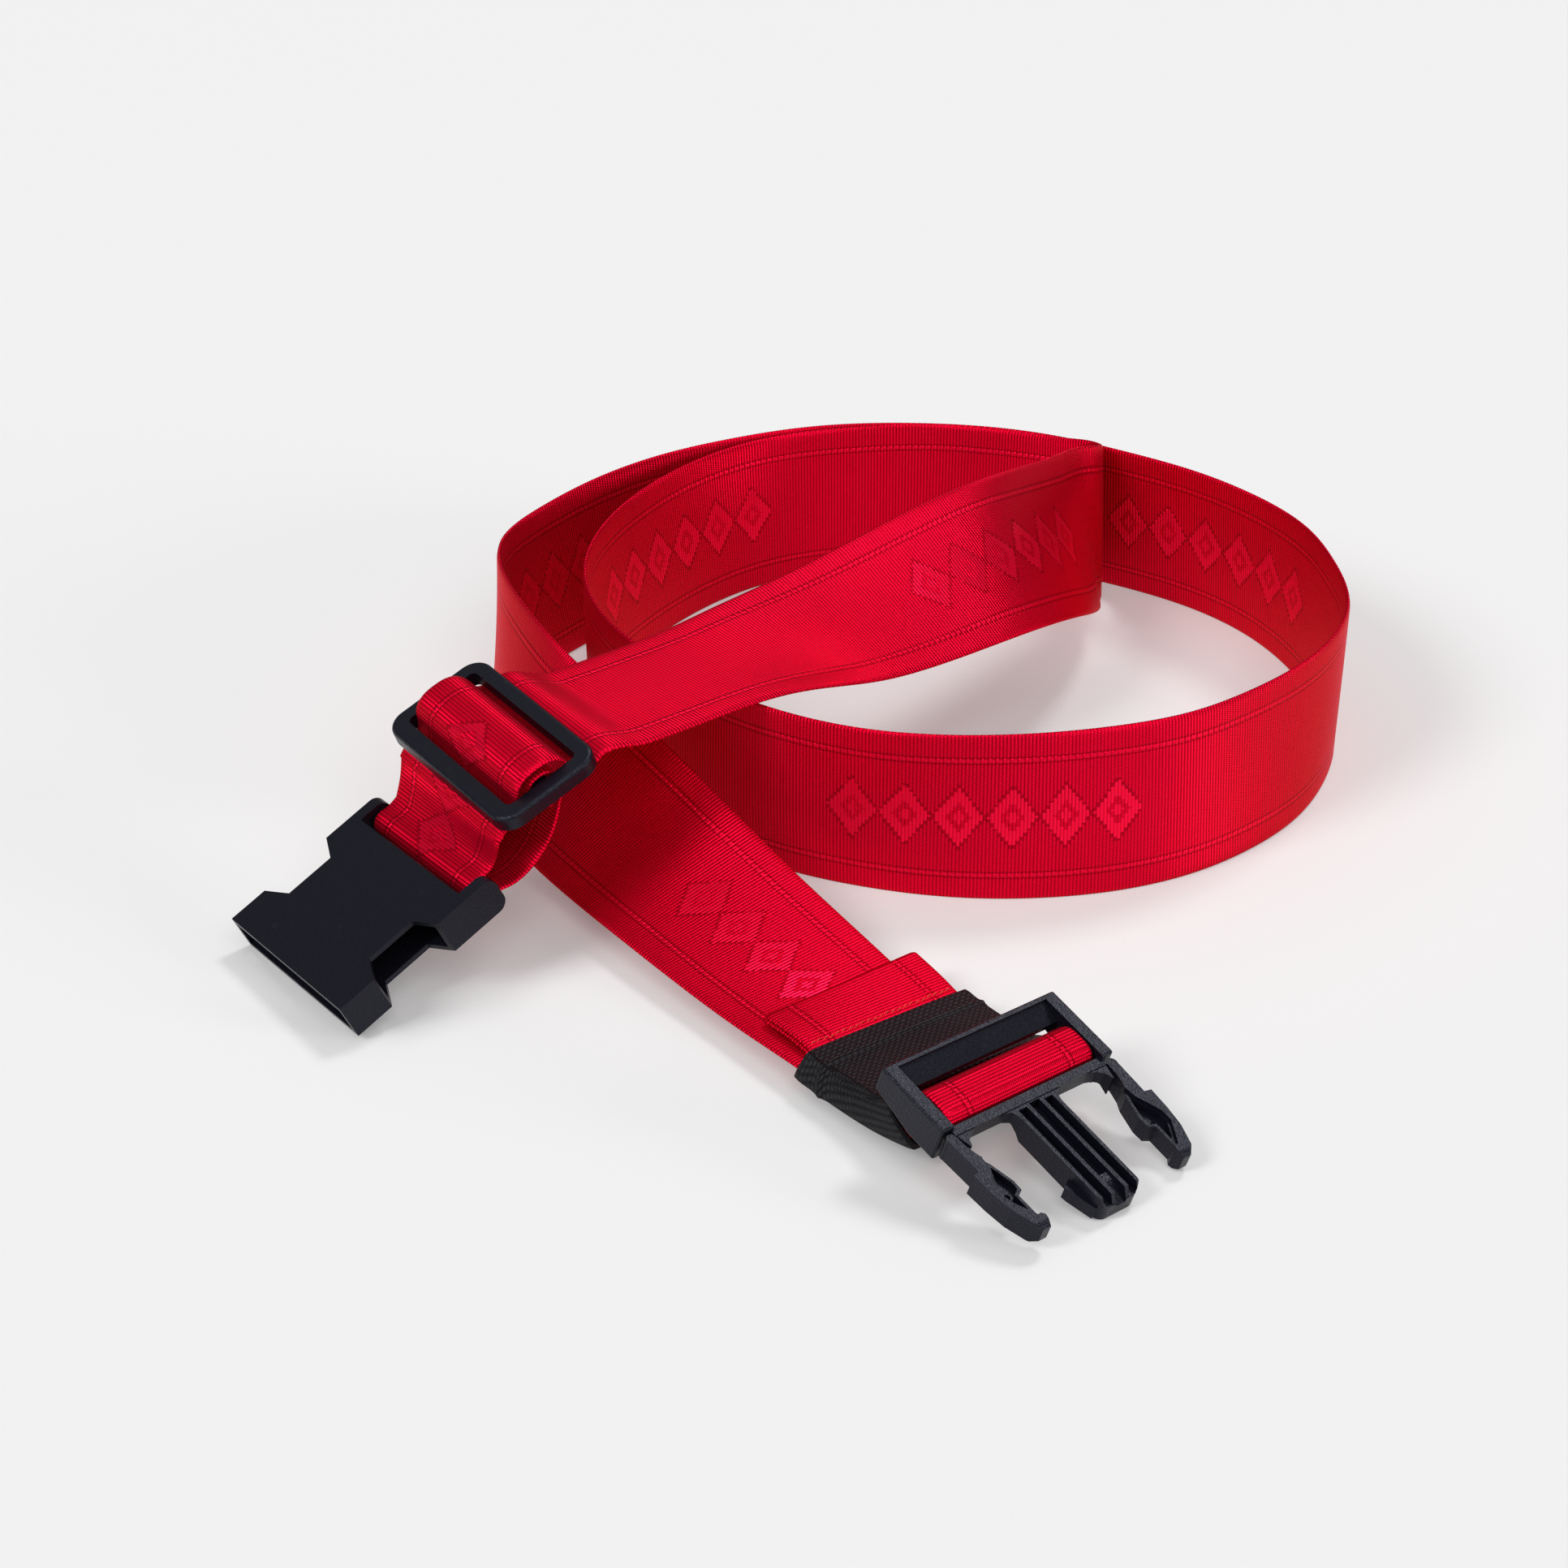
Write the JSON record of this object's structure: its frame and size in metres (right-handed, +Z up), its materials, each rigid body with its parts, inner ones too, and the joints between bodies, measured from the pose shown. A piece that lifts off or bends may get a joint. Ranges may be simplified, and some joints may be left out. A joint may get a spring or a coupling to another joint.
{
  "type": "luggage strap",
  "caption": "Flat webbing luggage strap coiled on a table, with a side-release buckle in two open halves, a tri-glide adjuster and an elastic keeper.",
  "frame": {"origin": "centre of the bounding box at the height of the table", "axes": "+Z up, +Y from the buckle halves towards the back of the coil, +X to the right"},
  "size_m": [0.3162, 0.3841, 0.0687],
  "materials": {
    "red_webbing": "satin jacquard webbing",
    "black_plastic": "fine-grained matte moulding",
    "black_elastic": "twill-woven elastic",
    "black_thread": "thread",
    "orange_thread": "thread"
  },
  "bodies": {
    "strap": {"webbing_corner": "red_webbing", "webbing_front_run": "red_webbing", "webbing_glide_lead": "red_webbing", "webbing_glide_run": "red_webbing", "webbing_inner_back": "red_webbing", "webbing_inner_turn": "red_webbing", "webbing_outer_back": "red_webbing", "webbing_outer_turn": "red_webbing", "webbing_plug_lead_lower": "red_webbing", "webbing_plug_lead_upper": "red_webbing", "webbing_plug_run": "red_webbing", "webbing_right_turn": "red_webbing", "webbing_tail": "red_webbing", "hem_fold": "red_webbing", "hem_stitch": "orange_thread"},
    "keeper": {"keeper_band": "black_elastic", "keeper_seam": "black_thread"},
    "plug": {"plug_frame": "black_plastic", "webbing_plug_wrap": "red_webbing"},
    "left_prong": {"prong_left": "black_plastic"},
    "right_prong": {"prong_right": "black_plastic"},
    "glide": {"tri_glide": "black_plastic", "webbing_glide_wrap": "red_webbing", "webbing_sewn_end": "red_webbing", "webbing_socket_upper": "red_webbing", "webbing_socket_lower": "red_webbing"},
    "socket": {"socket_shell": "black_plastic", "webbing_socket_wrap": "red_webbing"}
  },
  "joints": [
    {"name": "keeper_slide", "type": "slide", "parent": "strap", "child": "keeper", "axis": [-0.6415, 0.767, 0.01], "range_m": [0, 0.0015]},
    {"name": "plug_hinge", "type": "hinge", "parent": "strap", "child": "plug", "pos_m": [0.04614, -0.14465, 0.0182], "axis": [-0.7471, -0.6631, 0.0463], "range_deg": [0, 16], "deforming": ["webbing_plug_lead_lower", "webbing_plug_lead_upper"]},
    {"name": "left_prong_flex", "type": "hinge", "parent": "plug", "child": "left_prong", "pos_m": [0.03121, -0.17007, 0.01581], "axis": [0.2437, -0.2084, 0.9472], "range_deg": [0, 8], "stiffness_Nm_per_rad": 0.05},
    {"name": "right_prong_flex", "type": "hinge", "parent": "plug", "child": "right_prong", "pos_m": [0.07289, -0.13307, 0.01323], "axis": [-0.2437, 0.2084, -0.9472], "range_deg": [0, 8], "stiffness_Nm_per_rad": 0.05},
    {"name": "glide_slide", "type": "slide", "parent": "strap", "child": "glide", "axis": [0.7799, 0.6259, 0], "range_m": [0, 0.006], "deforming": ["webbing_glide_lead"]},
    {"name": "socket_hinge", "type": "hinge", "parent": "glide", "child": "socket", "pos_m": [-0.10297, -0.05023, 0.02738], "axis": [-0.5843, 0.811, -0.0298], "range_deg": [0, 30], "deforming": ["webbing_socket_upper", "webbing_socket_lower"]}
  ]
}
